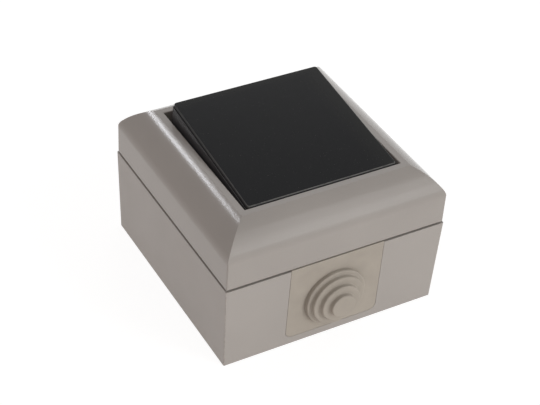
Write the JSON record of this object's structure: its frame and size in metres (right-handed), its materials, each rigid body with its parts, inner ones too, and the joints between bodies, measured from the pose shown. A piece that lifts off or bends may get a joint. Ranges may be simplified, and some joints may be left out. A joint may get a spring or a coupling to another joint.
{
  "type": "surface mounted light switch",
  "caption": "Square surface mounted light switch: grey back box with a stepped rubber cable entry, shouldered cover and one large dark rocker over a changeover mechanism.",
  "frame": {"origin": "centre of the wall face of the back box", "axes": "+Z out of the wall towards the rocker, -Y through the cable entry, +X to the right seen from the cable entry side"},
  "size_m": [0.08, 0.086, 0.058],
  "materials": {
    "box_plastic": "satin grey moulding",
    "cover_plastic": "glossy grey moulding",
    "entry_rubber": "soft matte grey",
    "seal_rubber": "matte black",
    "rocker_plastic": "semi gloss anthracite",
    "cradle_plastic": "satin light grey",
    "insulator": "satin off white",
    "zinc_steel": "bright zinc plated",
    "brass": "plain stamped brass",
    "contact_silver": "silver alloy"
  },
  "bodies": {
    "housing": {"back_box": "box_plastic", "cable_grommet": "entry_rubber", "lid_seal": "seal_rubber", "cover_frame": "cover_plastic", "cover_screws": "zinc_steel", "cover_screw_seals": "seal_rubber", "threaded_inserts": "brass", "support_strap": "zinc_steel", "strap_screws": "zinc_steel", "mechanism_body": "insulator", "bearing_frame": "insulator", "mechanism_rivets": "zinc_steel", "well_gasket": "seal_rubber", "common_strip": "brass", "near_contact_strip": "brass", "far_contact_strip": "brass", "near_fixed_contact": "contact_silver", "far_fixed_contact": "contact_silver", "common_terminal_cage": "brass", "near_terminal_cage": "brass", "far_terminal_cage": "brass", "terminal_screws": "zinc_steel", "link_terminal_body": "insulator", "link_terminal_clamp": "brass", "link_terminal_screws": "zinc_steel"},
    "rocker": {"rocker": "rocker_plastic", "rocker_cradle": "cradle_plastic", "contact_spring": "zinc_steel"},
    "plunger": {"plunger": "cradle_plastic"},
    "contact_blade": {"contact_blade": "brass", "contact_tips": "contact_silver"}
  },
  "joints": [
    {"name": "rocker_hinge", "type": "hinge", "parent": "housing", "child": "rocker", "pos_m": [0, 0, 0.038], "axis": [1, 0, 0], "range_deg": [-13.2, 0]},
    {"name": "blade_hinge", "type": "hinge", "parent": "housing", "child": "contact_blade", "pos_m": [0, 0, 0.0238], "axis": [1, 0, 0], "range_deg": [0, 19.8]},
    {"name": "plunger_slide", "type": "slide", "parent": "rocker", "child": "plunger", "axis": [0, -0.1149, 0.9934], "range_m": [0, 0.0012], "stiffness_N_per_m": 400, "springref_m": -0.003, "deforming": ["contact_spring"]}
  ],
  "couplings": [
    {"joint": "blade_hinge", "follows": "rocker_hinge", "ratio": -1.5}
  ]
}
